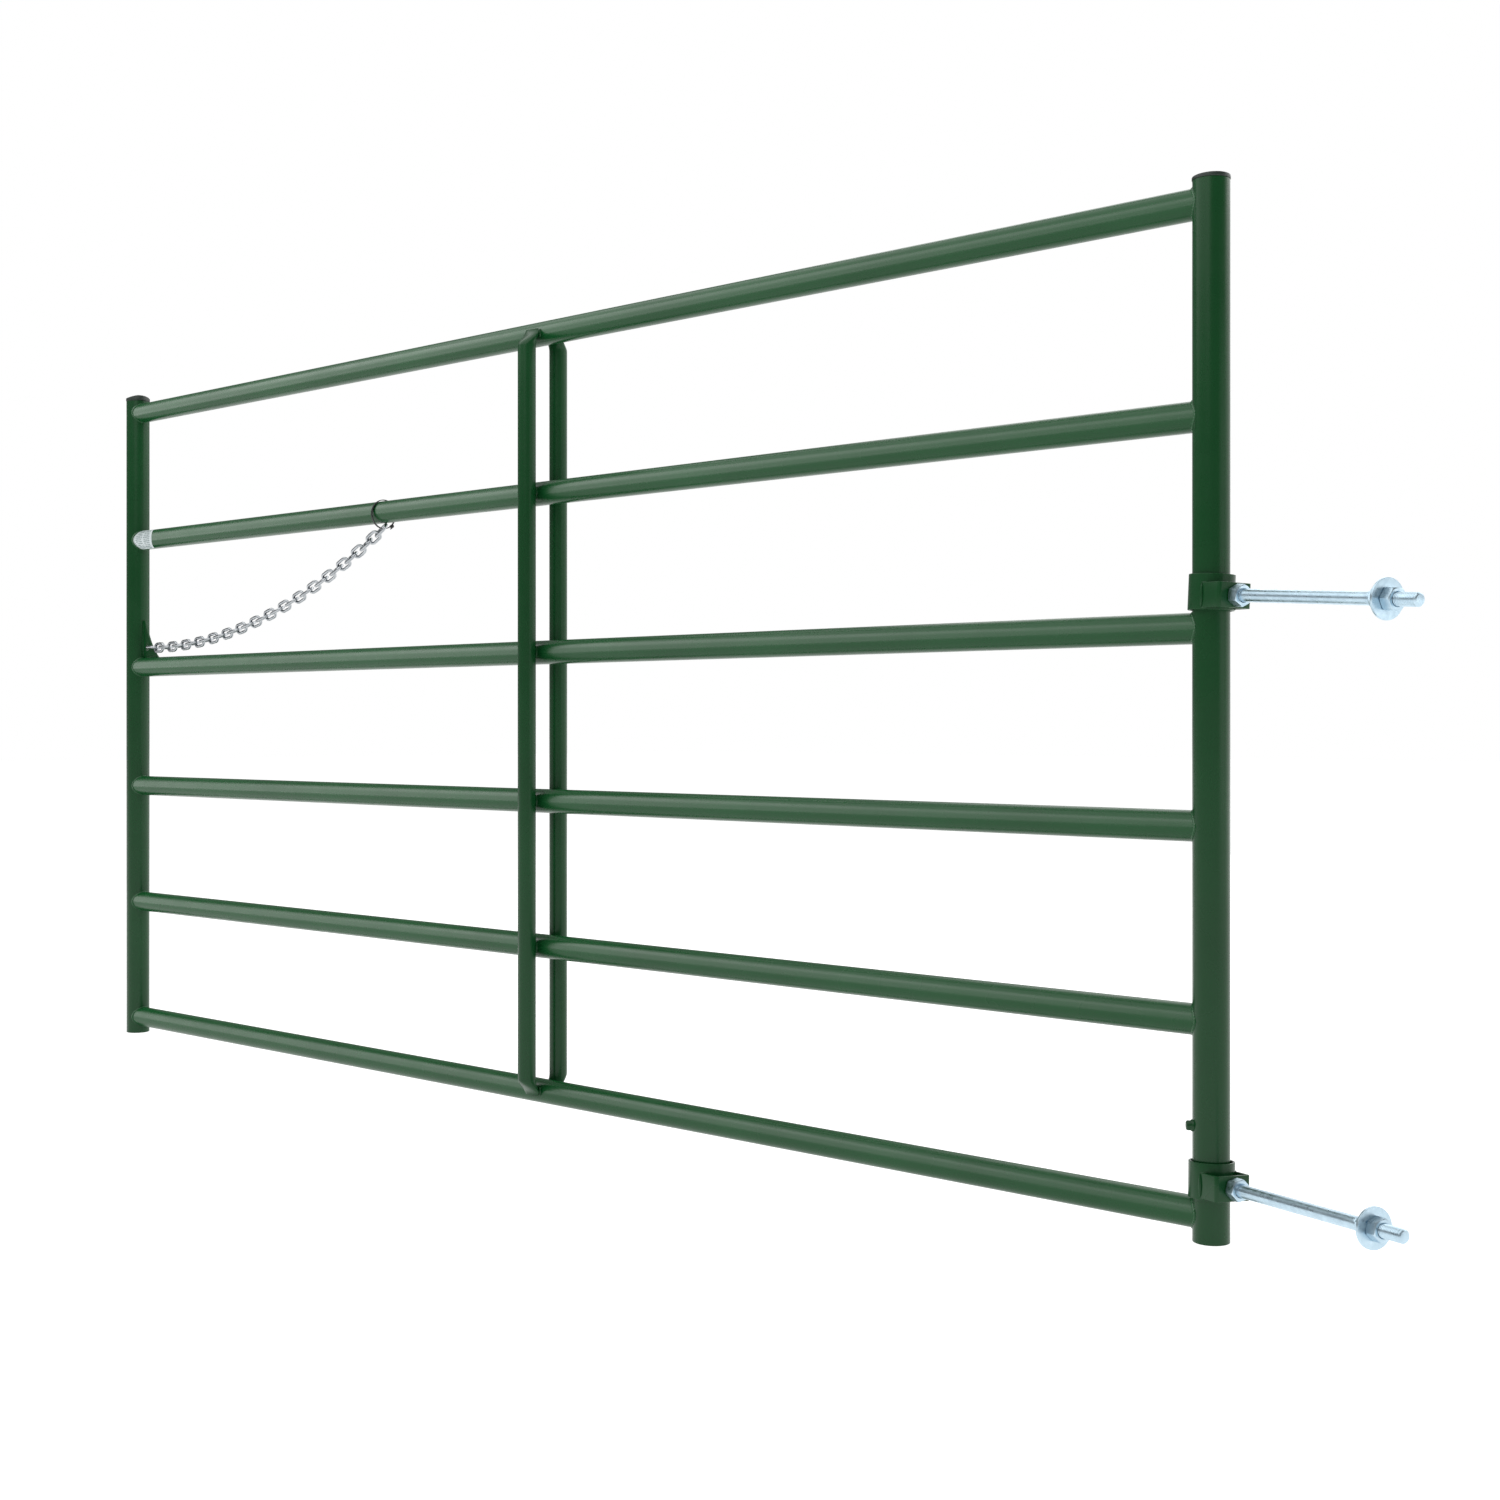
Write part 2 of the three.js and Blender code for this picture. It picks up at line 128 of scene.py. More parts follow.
most_tilt = max(collar_tilt(hinge) for hinge in HINGES.values())
most_play = math.radians(max(hinge["bolt"] - hinge["collar"] for hinge in HINGES.values()))
COLLAR_INNER_R = UPRIGHT_R + COLLAR_HEIGHT / 2 * math.tan(most_tilt) + COLLAR_SHIFT + GAP
COLLAR_OUTER_R = COLLAR_INNER_R + COLLAR_WALL
ROOM = GAP + NUT_FLATS / math.sqrt(3) * math.tan(most_play)
HEAD_BACK = COLLAR_OUTER_R + COLLAR_SHIFT + ROOM
BRACKET_INSIDE = HEAD_BACK + HEAD_THICKNESS + ROOM
BRACKET_OUTSIDE = BRACKET_INSIDE + BRACKET_WALL

RAILS = ["top_rail", "rail_2", "rail_3", "rail_4", "rail_5", "bottom_rail"]


def box_mm(node):
    """The two corners of a CAD node's box, in millimetres."""
    low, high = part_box(node)
    return Vector(low) / MM, Vector(high) / MM


def middle(node):
    low, high = box_mm(node)
    return (low + high) / 2


FOOT = box_mm("hinge_upright")[0].z
LATCH_X = middle("latch_upright").x

# ------------------------------------------------------------------ camera, at eye height off the hinge end
CAMERA_PLACE = (1.1473, -2.1022, 0.5416)
CAMERA_TURN = math.radians(41.91)
FOCAL_LENGTH = 46.88
HORIZON_SHIFT = -0.0167

camera_data = bpy.data.cameras.new("camera")
camera_data.lens = FOCAL_LENGTH
camera_data.sensor_width = 36
camera_data.shift_y = HORIZON_SHIFT
camera_data.clip_end = 60
camera = bpy.data.objects.new("camera", camera_data)
camera.location = CAMERA_PLACE
camera.rotation_euler = (math.pi / 2, 0, CAMERA_TURN)
bpy.context.scene.collection.objects.link(camera)
bpy.context.scene.camera = camera


# ------------------------------------------------------------------ materials
class Material:
    """A Principled material whose colour, roughness and relief are worked out by nodes."""

    def __init__(self, name, color, roughness, metallic=0.0):
        self.data = bpy.data.materials.new(name)
        self.data.use_nodes = True
        self.tree = self.data.node_tree
        self.shader = self.tree.nodes["Principled BSDF"]
        self.place = self.tree.nodes.new("ShaderNodeTexCoord").outputs["Object"]
        self.set("Base Color", (*color, 1))
        self.set("Roughness", roughness)
        self.set("Metallic", metallic)

    def set(self, socket, value):
        self.shader.inputs[socket].default_value = value

    def link(self, start, end):
        self.tree.links.new(start, end)

    def noise(self, scale, detail=3.0, roughness=0.5):
        """Noise with about this many grains to the metre."""
        node = self.tree.nodes.new("ShaderNodeTexNoise")
        node.inputs["Scale"].default_value = scale
        node.inputs["Detail"].default_value = detail
        node.inputs["Roughness"].default_value = roughness
        self.link(self.place, node.inputs["Vector"])
        return node.outputs["Fac"]

    def ramp(self, value, stops):
        node = self.tree.nodes.new("ShaderNodeValToRGB")
        ramp = node.color_ramp
        for i, (at, color) in enumerate(stops):
            stop = ramp.elements[i] if i < 2 else ramp.elements.new(at)
            stop.position = at
            stop.color = (*color, 1)
        self.link(value, node.inputs["Fac"])
        return node.outputs["Color"]

    def span(self, value, low, high):
        """A noise's usual range, 0.3 to 0.7, spread from low to high."""
        node = self.tree.nodes.new("ShaderNodeMapRange")
        node.inputs["From Min"].default_value = 0.3
        node.inputs["From Max"].default_value = 0.7
        node.inputs["To Min"].default_value = low
        node.inputs["To Max"].default_value = high
        self.link(value, node.inputs["Value"])
        return node.outputs["Result"]

    def bump(self, height, strength, distance, under=None):
        node = self.tree.nodes.new("ShaderNodeBump")
        node.inputs["Strength"].default_value = strength
        node.inputs["Distance"].default_value = distance
        self.link(height, node.inputs["Height"])
        if under is not None:
            self.link(under, node.inputs["Normal"])
        self.link(node.outputs["Normal"], self.shader.inputs["Normal"])
        return node.outputs["Normal"]


def green_powder_coat():
    coat = Material("green_powder_coat", (0.003, 0.046, 0.011), 0.28)
    mottle = coat.noise(5, detail=4)
    shades = [(0.3, (0.0025, 0.041, 0.0095)), (0.7, (0.0035, 0.051, 0.0125))]
    coat.link(coat.ramp(mottle, shades), coat.shader.inputs["Base Color"])
    coat.link(coat.span(coat.noise(22), 0.24, 0.31), coat.shader.inputs["Roughness"])
    coat.set("Specular IOR Level", 0.27)
    wave = coat.bump(coat.noise(45, detail=1), 0.12, 0.0006)
    coat.bump(coat.noise(420, detail=2), 0.16, 0.00012, under=wave)
    return coat.data


def zinc_plate(name, dark, bright, roughness):
    zinc = Material(name, bright, roughness, metallic=1.0)
    cloud = zinc.noise(70, detail=5, roughness=0.6)
    zinc.link(zinc.ramp(cloud, [(0.3, dark), (0.7, bright)]), zinc.shader.inputs["Base Color"])
    smear = zinc.noise(180, detail=4)
    zinc.link(zinc.span(smear, roughness - 0.06, roughness + 0.1), zinc.shader.inputs["Roughness"])
    zinc.bump(zinc.noise(900, detail=3), 0.03, 0.00004)
    return zinc.data


def cap_plastic():
    cap = Material("cap_plastic", (0.008, 0.018, 0.012), 0.42)
    shades = [(0.3, (0.006, 0.014, 0.010)), (0.7, (0.011, 0.024, 0.016))]
    cap.link(cap.ramp(cap.noise(60), shades), cap.shader.inputs["Base Color"])
    cap.bump(cap.noise(800, detail=2), 0.2, 0.0001)
    return cap.data


def tie_nylon():
    tie = Material("tie_nylon", (0.004, 0.004, 0.005), 0.45)
    tie.link(tie.span(tie.noise(300), 0.4, 0.55), tie.shader.inputs["Roughness"])
    tie.bump(tie.noise(700, detail=2), 0.15, 0.0001)
    return tie.data


def label_film():
    """White film with rows of short grey bars in two blocks, in place of print."""
    white = (0.6, 0.66, 0.67)
    film = Material("label_film", white, 0.32)
    split = film.tree.nodes.new("ShaderNodeSeparateXYZ")
    film.link(film.tree.nodes.new("ShaderNodeUVMap").outputs["UV"], split.inputs["Vector"])

    def math_node(operation, a, b):
        node = film.tree.nodes.new("ShaderNodeMath")
        node.operation = operation
        for socket, value in zip(node.inputs, (a, b)):
            if isinstance(value, (int, float)):
                socket.default_value = value
            else:
                film.link(value, socket)
        return node.outputs["Value"]

    def stripes(value, count, share):
        turned = math_node("FRACT", math_node("MULTIPLY", value, count), 0)
        return math_node("LESS_THAN", turned, share)

    across, around = split.outputs["X"], split.outputs["Y"]
    rows = stripes(around, 13, 0.5)
    letters = math_node("GREATER_THAN", film.noise(420, detail=2), 0.44)
    left = math_node("GREATER_THAN", across, 0.12)
    right = math_node("LESS_THAN", across, 0.88)
    from_middle = math_node("ABSOLUTE", math_node("SUBTRACT", across, 0.5), 0)
    gutter = math_node("GREATER_THAN", from_middle, 0.035)
    low = math_node("GREATER_THAN", around, 0.08)
    high = math_node("LESS_THAN", around, 0.92)
    print_mask = rows
    for mask in (letters, left, right, gutter, low, high):
        print_mask = math_node("MULTIPLY", print_mask, mask)
    ink = film.ramp(print_mask, [(0.0, white), (1.0, (0.1, 0.16, 0.16))])
    film.link(ink, film.shader.inputs["Base Color"])
    film.bump(film.noise(120, detail=2), 0.15, 0.0002)
    return film.data


MATERIALS = {
    "green_powder_coat": green_powder_coat(),
    "zinc_plate": zinc_plate("zinc_plate", (0.42, 0.55, 0.64), (0.52, 0.66, 0.75), 0.31),
    "chain_zinc": zinc_plate("chain_zinc", (0.34, 0.36, 0.38), (0.5, 0.52, 0.54), 0.16),
    "cap_plastic": cap_plastic(),
    "tie_nylon": tie_nylon(),
    "label_film": label_film(),
}


# ------------------------------------------------------------------ mesh building
class Shape:
    """Vertices and faces in millimetres, gathered from grids of rings."""

    def __init__(self):
        self.verts = []
        self.faces = []

    def rings(self, rings, loop=False):
        """Quads between rings of equal length. The last joins the first in a loop, else both are closed."""
        start = len(self.verts)
        count = len(rings[0])
        for ring in rings:
            self.verts.extend(Vector(point) for point in ring)
        steps = len(rings) if loop else len(rings) - 1
        for i in range(steps):
            near = start + i * count
            far = start + (i + 1) % len(rings) * count
            for j in range(count):
                k = (j + 1) % count
                self.faces.append((near + j, near + k, far + k, far + j))
        if not loop:
            self.faces.append(tuple(start + j for j in reversed(range(count))))
            self.faces.append(tuple(start + (len(rings) - 1) * count + j for j in range(count)))
        return self

    def moved(self, matrix):
        self.verts = [matrix @ point for point in self.verts]
        return self

    def add(self, other):
        start = len(self.verts)
        self.verts.extend(other.verts)
        self.faces.extend(tuple(start + i for i in face) for face in other.faces)
        return self

    def add_mesh(self, mesh):
        start = len(self.verts)
        self.verts.extend(v.co.copy() for v in mesh.vertices)
        self.faces.extend(tuple(start + i for i in p.vertices) for p in mesh.polygons)
        return self

    def build(self, name, sharp=32):
        """An object in metres, smooth but for edges of more than sharp degrees."""
        mesh = bpy.data.meshes.new(name)
        mesh.from_pydata([point * MM for point in self.verts], [], self.faces)
        bm = bmesh.new()
        bm.from_mesh(mesh)
        bmesh.ops.remove_doubles(bm, verts=bm.verts, dist=1e-7)
        bmesh.ops.recalc_face_normals(bm, faces=bm.faces)
        for face in bm.faces:
            face.smooth = True
        limit = math.radians(sharp)
        for edge in bm.edges:
            edge.smooth = len(edge.link_faces) == 2 and edge.calc_face_angle(0) < limit
        bm.to_mesh(mesh)
        bm.free()
        thing = bpy.data.objects.new(name, mesh)
        bpy.context.scene.collection.objects.link(thing)
        return thing


def angles_round(sides):
    return [2 * math.pi * i / sides for i in range(sides)]


def circle(radius, z, sides):
    return [(radius * math.cos(a), radius * math.sin(a), z) for a in angles_round(sides)]


def turned(profile, sides, loop=False):
    """A profile of (radius, height) turned about Z. A loop profile gives a ring."""
    return Shape().rings([circle(r, z, sides) for r, z in profile], loop=loop)


def rounded(corners, radius, steps=4):
    """A closed profile with every corner rounded."""
    points = []
    for i, corner in enumerate(corners):
        here = Vector(corner)
        before = (Vector(corners[i - 1]) - here).normalized()
        after = (Vector(corners[(i + 1) % len(corners)]) - here).normalized()
        start = here + before * radius
        end = here + after * radius
        for j in range(steps + 1):
            t = j / steps
            points.append(tuple(start * (1 - t) ** 2 + here * (2 * t * (1 - t)) + end * t**2))
    return points


def blob(place, size, turn=0.0):
    """An ellipsoid, for a short weld."""
    rings = []
    for i in range(1, 10):
        angle = math.pi * i / 10
        ripple = 1 + 0.05 * math.sin(5 * angle)
        rings.append(circle(math.sin(angle) * ripple, -math.cos(angle), 20))
    shape = Shape().rings(rings)
    matrix = Matrix.Translation(place) @ Matrix.Rotation(turn, 4, "Z") @ Matrix.Diagonal((*size, 1))
    return shape.moved(matrix)


def swept(path, section):
    """A section of (side, out) points carried round a closed path of (point, side, out) vectors."""
    rings = []
    for i, (point, side, out) in enumerate(path):
        outline = section(i / len(path)) if callable(section) else section
        rings.append([point + side * a + out * b for a, b in outline])
    return Shape().rings(rings, loop=True)


def plate_mesh(outer, holes, thickness, bevel):
    """A flat plate in XY, centred on z = 0, with softened edges."""
    curve = bpy.data.curves.new("outline", "CURVE")
    curve.dimensions = "2D"
    curve.fill_mode = "BOTH"
    curve.extrude = thickness / 2 - bevel
    curve.bevel_depth = bevel
    curve.bevel_resolution = 2
    curve.offset = -bevel
    for points in (outer, *holes):
        spline = curve.splines.new("POLY")
        spline.points.add(len(points) - 1)
        for target, (x, y) in zip(spline.points, points):
            target.co = (x, y, 0, 1)
        spline.use_cyclic_u = True
    holder = bpy.data.objects.new("outline", curve)
    bpy.context.scene.collection.objects.link(holder)
    bpy.context.view_layer.update()
    mesh = bpy.data.meshes.new_from_object(holder.evaluated_get(bpy.context.evaluated_depsgraph_get()))
    bpy.data.objects.remove(holder)
    return mesh


def finish_piece(thing, material, body=None, nodes=()):
    """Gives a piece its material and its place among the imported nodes. It rides with their body."""
    thing.data.materials.clear()
    thing.data.materials.append(MATERIALS[material])
    if nodes:
        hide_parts(*nodes)
        body = next(name for name, members in BODIES.items() if nodes[0] in members)
    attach(thing, body)


# ------------------------------------------------------------------ uprights and caps
def upright(node):
    low, high = box_mm(node)
    inside = UPRIGHT_R - UPRIGHT_WALL
    corners = [(inside, low.z), (UPRIGHT_R, low.z), (UPRIGHT_R, high.z), (inside, high.z)]
    tube = turned(rounded(corners, 0.5), sides=96, loop=True)
    tube.moved(Matrix.Translation((middle(node).x, 0, 0)))
    finish_piece(tube.build(node + "_tube"), "green_powder_coat", nodes=[node])


def cap(node, tube_node, wave, tilt):
    """A pushed-in plastic cap, a little warped by the push."""
    top = box_mm(tube_node)[1].z
    height = box_mm(node)[1].z - top
    lip = UPRIGHT_R + CAP_LIP
    plug = UPRIGHT_R - UPRIGHT_WALL - GAP
    dome = height * 0.3
    profile = [
        (plug - 1.5, -CAP_PLUG),
        (plug, 2 - CAP_PLUG),
        (plug, 0.2),
        (lip - 0.5, 0.2),
        (lip, 0.7),
        (lip, height - dome - 0.9),
        (lip - 0.25, height - dome - 0.3),
        (lip - 0.9, height - dome),
        (lip * 0.84, height - dome * 0.75),
        (lip * 0.6, height - dome * 0.35),
        (lip * 0.3, height - dome * 0.08),
        (0.4, height),
    ]
    shape = turned(profile, sides=96)
    for point in shape.verts:
        if point.z < 1:
            continue
        angle = math.atan2(point.y, point.x)
        reach = math.hypot(point.x, point.y) / lip
        point.z += wave * reach * math.cos(2 * angle + 0.5) + tilt * reach * math.cos(angle + 0.7)
        point.z -= (wave + tilt) * 0.5
    shape.moved(Matrix.Translation((middle(tube_node).x, 0, top)))
    finish_piece(shape.build(node + "_moulding"), "cap_plastic", nodes=[node])


# ------------------------------------------------------------------ rails, with a weld bead round each end
BEAD_SIZE = 2.9
BEAD_SINK = 0.9
BEAD_STEPS = 120


def cope_depth(angle):
    """How far from an upright's axis a rail's wall stops, at an angle round the rail."""
    return math.sqrt(UPRIGHT_R**2 - (RAIL_R * math.cos(angle)) ** 2)


def weld_bead(end_x, way, z, seed):
    """A bead along the saddle line where a rail meets an upright. way is +1 if the rail leaves along +X."""
    saddle = []
    outs = []
    for angle in angles_round(BEAD_STEPS):
        x = cope_depth(angle)
        y = RAIL_R * math.cos(angle)
        saddle.append(Vector((end_x + way * x, y, z + RAIL_R * math.sin(angle))))
        off_rail = Vector((0, math.cos(angle), math.sin(angle)))
        off_upright = Vector((way * x / UPRIGHT_R, y / UPRIGHT_R, 0))
        outs.append((off_rail + off_upright).normalized())
    path = []
    for i, out in enumerate(outs):
        along = (saddle[(i + 1) % BEAD_STEPS] - saddle[i - 1]).normalized()
        path.append((saddle[i] - out * BEAD_SINK, along.cross(out), out))

    def section(t):
        ripple = 0.10 * math.sin(2 * math.pi * 34 * t) + 0.16 * math.sin(2 * math.pi * 3 * t + seed)
        size = BEAD_SIZE * (1 + ripple)
        return [(size * math.cos(a), size * 0.8 * math.sin(a)) for a in np.linspace(0, 2 * math.pi, 13)[:-1]]

    return swept(path, section)


def rail(node, index):
    """A tube coped to both uprights, with its two beads."""
    z = middle(node).z
    inner = RAIL_R - RAIL_WALL

    def ring(radius, end_x, way):
        points = []
        for angle in angles_round(72):
            x = end_x + way * (cope_depth(angle) + GAP)
            points.append((x, radius * math.cos(angle), z + radius * math.sin(angle)))
        return points

    rings = [ring(inner, LATCH_X, 1), ring(RAIL_R, LATCH_X, 1), ring(RAIL_R, 0, -1), ring(inner, 0, -1)]
    tube = Shape().rings(rings, loop=True)
    tube.add(weld_bead(LATCH_X, 1, z, index))
    tube.add(weld_bead(0, -1, z, index + 0.5))
    finish_piece(tube.build(node + "_tube"), "green_powder_coat", nodes=[node])


# ------------------------------------------------------------------ stays
def smooth(t):
    """0 to 1 with a soft start and a soft end."""
    t = min(max(t, 0), 1)
    return t * t * (3 - 2 * t)


def stay(node, side):
    """side is -1 in front of the rails and +1 behind them. The ends are pinched flat, nearly shut."""
    low, high = box_mm(node)
    x = (low.x + high.x) / 2
    length = high.z - low.z
    mouth_wall = 1.8
    mouth_depth = 10
    steps = [i / 16 * STAY_CRIMP for i in range(17)]
    levels = steps + [length - level for level in reversed(steps)]

    def ring(level, wall):
        from_end = min(level, length - level)
        roundness = smooth(from_end / STAY_CRIMP)
        depth = STAY_FLAT + (STAY_R - STAY_FLAT) * roundness
        width = STAY_R * (STAY_SPREAD + (1 - STAY_SPREAD) * roundness)
        nip = 1 - 0.22 * (1 - smooth(from_end / 9))
        points = []
        for angle in angles_round(56):
            across = math.cos(angle) * (width * nip - wall)
            out = math.sin(angle) * (depth - min(wall, STAY_FLAT * 0.75))
            points.append((x + across, side * (RAIL_R + GAP + depth + out), low.z + level))
        return points

    rings = [ring(mouth_depth, mouth_wall), ring(0, mouth_wall)]
    rings.extend(ring(level, 0) for level in levels)
    rings.extend([ring(length, mouth_wall), ring(length - mouth_depth, mouth_wall)])
    tube = Shape().rings(rings)
    for i, name in enumerate(RAILS):
        z = middle(name).z
        for way in (-1, 1):
            if name in ("top_rail", "bottom_rail"):
                inward = -3 if name == "top_rail" else 3
                place = (x + way * 15.5, side * (RAIL_R + 0.4), z + inward)
                tube.add(blob(place, (2.6, 2.4, 6 + way * 0.5)))
            else:
                place = (x + way * 7.6, side * (RAIL_R + 1.1), z + way * 0.6)
                tube.add(blob(place, (2.8, 2.2, 8.5 + (i + way) % 2)))
    finish_piece(tube.build(node + "_tube"), "green_powder_coat", nodes=[node])


# ------------------------------------------------------------------ hinges
ALONG_X = Matrix.Rotation(math.pi / 2, 4, "Y")


def hinge_frame(name, droop):
    """+X along the hinge's bolt, origin on the collar's mid-height on the hinge axis."""
    hinge = HINGES[name]
    place = Matrix.Translation((0, 0, hinge["height"]))
    place = place @ Matrix.Rotation(-math.radians(hinge["azimuth"]), 4, "Z")
    place = place @ Matrix.Rotation(math.radians(droop), 4, "Y")
    return place @ Matrix.Rotation(-math.radians(hinge["lean"]), 4, "X")


def bolt_frame(name):
    """The bolt's own frame: it crosses the bracket's hole, but may droop more than the collar does."""
    hole = Vector((BRACKET_INSIDE + BRACKET_WALL / 2, 0, -BOLT_DROP))
    collar_frame = hinge_frame(name, HINGES[name]["collar"])
    drooped = hinge_frame(name, HINGES[name]["bolt"])
    return Matrix.Translation(collar_frame @ hole - drooped @ hole) @ drooped


def on_bolt(name, reach, turn=0.0):
    """Place for a piece made along +Z, to sit on a hinge's bolt at a reach from the hinge axis."""
    spin = Matrix.Rotation(math.radians(turn), 4, "Z")
    return bolt_frame(name) @ Matrix.Translation((reach, 0, -BOLT_DROP)) @ ALONG_X @ spin


def corner_arc(corner, radius, start_angle):
    """Points round a 90 degree outer corner, from start_angle, anticlockwise."""
    x = corner[0] - radius
    y = corner[1] + (radius if start_angle < 0 else -radius)
    angles = [math.radians(start_angle + 15 * i) for i in range(7)]
    return [(x + radius * math.cos(a), y + radius * math.sin(a)) for a in angles]


def collar(name):
    """A loose ring with the U-shaped strap that holds the bolt welded to it."""
    outer = COLLAR_OUTER_R
    half = COLLAR_HEIGHT / 2
    corners = [(COLLAR_INNER_R, -half), (outer, -half), (outer, half), (COLLAR_INNER_R, half)]
    ring = turned(rounded(corners, 0.7), sides=96, loop=True)
    ring.moved(Matrix.Translation((COLLAR_SHIFT, 0, 0)))

    side = BRACKET_WIDTH / 2
    inside = side - BRACKET_WALL
    web = BRACKET_OUTSIDE
    start = math.sqrt(outer**2 - side**2) - 1.2
    inner_start = math.sqrt((outer - 1.4) ** 2 - inside**2) + COLLAR_SHIFT
    bend = 4.5
    inner_bend = bend - BRACKET_WALL + 1
    outline = [(start, -side)]
    outline.extend(corner_arc((web, -side), bend, -90))
    outline.extend(corner_arc((web, side), bend, 0))
    outline.append((start, side))
    outline.append((inner_start, inside))
    outline.extend(reversed(corner_arc((BRACKET_INSIDE, inside), inner_bend, 0)))
    outline.extend(reversed(corner_arc((BRACKET_INSIDE, -inside), inner_bend, -90)))
    outline.append((inner_start, -inside))
    strap = Shape().add_mesh(plate_mesh(outline, [], BRACKET_HEIGHT, 0.6))
    strap.moved(Matrix.Translation((0, 0, -BOLT_DROP)))
    ring.add(strap)
    for way in (-1, 1):
        place = (start + 1.4, way * (side + 0.5), -BOLT_DROP)
        ring.add(blob(place, (2.6, 1.9, BRACKET_HEIGHT / 2 - 1)))
    for z in (-BRACKET_HEIGHT / 2 - BOLT_DROP, BRACKET_HEIGHT / 2 - BOLT_DROP):
        for way in (-1, 1):
            ring.add(blob((start + 3.5, way * (side - 2.2), z), (4.2, 2.2, 1.3), turn=-way * 0.5))
    ring.moved(hinge_frame(name, HINGES[name]["collar"]))
    node = name + "_hinge_collar"
    finish_piece(ring.build(node + "_ring"), "green_powder_coat", nodes=[node])


def thread_radius(reach, angle):
    """The bolt's radius at a reach along it and an angle round it."""
    for start, end in THREADED:
        if start < reach < end:
            fade = smooth((reach - start) / 3) * smooth((end - reach) / 2)
            turn = (reach / THREAD_PITCH - angle / (2 * math.pi)) % 1
            crest = 0.5 - 0.5 * math.cos(2 * math.pi * turn)
            return BOLT_R - 0.1 - THREAD_DEPTH * fade * (1 - crest) ** 0.8
    return BOLT_R - 0.1


def bolt(name):
    """A rod with a chamfered tip and a hexagon head inside the strap."""
    sides = 36
    steps = angles_round(sides)
    rings_per_turn = 7
    stations = [HEAD_BACK, HEAD_BACK + 6]
    for start, end in THREADED:
        stations.append(start - 0.01)
        count = int((end - start) / THREAD_PITCH * rings_per_turn)
        stations.extend(start + (end - start) * i / count for i in range(count + 1))
    rings = []
    for reach in stations:
        radii = [thread_radius(reach, a) for a in steps]
        rings.append([(r * math.cos(a), r * math.sin(a), reach) for r, a in zip(radii, steps)])
    rings.append(circle(BOLT_R - 0.3, BOLT_TIP - BOLT_CHAMFER, sides))
    rings.append(circle(BOLT_R - BOLT_CHAMFER, BOLT_TIP - 0.2, sides))
    rings.append(circle(BOLT_R - BOLT_CHAMFER - 0.5, BOLT_TIP, sides))
    rod = Shape().rings(rings)
    head = hexagon(HEAD_THICKNESS, bore=0)
    head.moved(Matrix.Translation((0, 0, HEAD_BACK)))
    rod.add(head)
    rod.moved(on_bolt(name, 0))
    node = name + "_hinge_bolt"
    finish_piece(rod.build(node + "_rod", sharp=50), "zinc_plate", nodes=[node])


def hexagon(thickness, bore):
    """A nut along +Z: flats, corners cut back at both faces, and a bore with a lead-in."""
    flat = NUT_FLATS / 2
    face = flat * 0.965
    corner = flat * 1.135
    cut_back = math.tan(math.radians(28))

    def ring(height, reach=None):
        points = []
        for angle in angles_round(96):
            off_flat = (angle + math.pi / 6) % (math.pi / 3) - math.pi / 6
            edge = min(flat / math.cos(off_flat), corner)
            radius = edge if reach is None else reach
            z = height
            if reach is None:
                drop = (edge - face) * cut_back
                z = height - drop if height > thickness / 2 else height + drop
            points.append((radius * math.cos(angle), radius * math.sin(angle), z))
        return points

    outside = [ring(0, face), ring(0), ring(thickness), ring(thickness, face)]
    if not bore:
        return Shape().rings(outside)
    lead_in = 0.9
    mouth = bore + lead_in
    outside.extend([ring(thickness, mouth), ring(thickness - lead_in, bore)])
    outside.extend([ring(lead_in, bore), ring(0, mouth)])
    return Shape().rings(outside, loop=True)


def nut(name, which, reach, turn):
    shape = hexagon(NUT_THICKNESS, bore=BOLT_R - 0.2)
    shape.moved(on_bolt(name, reach, turn))
    node = name + "_" + which
    finish_piece(shape.build(node + "_hex", sharp=25), "zinc_plate", nodes=[node])


def washer(name):
    bore = BOLT_R + 0.8
    corners = [(bore, 0), (WASHER_R, 0), (WASHER_R, WASHER_THICKNESS), (bore, WASHER_THICKNESS)]
    ring = turned(rounded(corners, 0.55), sides=96, loop=True)
    ring.moved(on_bolt(name, WASHER_REACH - WASHER_THICKNESS))
    node = name + "_washer"
    finish_piece(ring.build(node + "_disc"), "zinc_plate", nodes=[node])


def hinge(name):
    turns = HINGES[name]["turns"]
    washer_back = WASHER_REACH - WASHER_THICKNESS
    collar(name)
    bolt(name)
    nut(name, "lock_nut", BRACKET_OUTSIDE + ROOM, turns[0])
    nut(name, "inner_nut", washer_back - GAP - NUT_THICKNESS, turns[1])
    washer(name)
    nut(name, "outer_nut", WASHER_REACH + GAP, turns[2])


# ------------------------------------------------------------------ stop, chain plate, chain and tie
def lift_stop():
    """A short rod welded to the hinge upright, just above the lower collar."""
    centre = middle("lift_stop")
    flat = Vector((centre.x, centre.y, 0)).normalized()
    angle = math.atan2(flat.y, flat.x)
    profile = [(STOP_R, -1.5), (STOP_R, 5.2), (STOP_R - 0.4, 6.6), (STOP_R - 1.6, 7.4), (0.3, 7.6)]
    shape = turned(profile, sides=40)
    bead = [(STOP_R + 1.4, -1.2), (STOP_R + 1.2, 0.6), (STOP_R + 0.5, 1.6), (STOP_R - 0.1, 2.0)]
    shape.add(turned(bead, sides=40))
    turn = Matrix.Rotation(angle, 4, "Z") @ ALONG_X
    shape.moved(Matrix.Translation(flat * (UPRIGHT_R + GAP) + Vector((0, 0, centre.z))) @ turn)
    finish_piece(shape.build("lift_stop_stud"), "green_powder_coat", nodes=["lift_stop"])


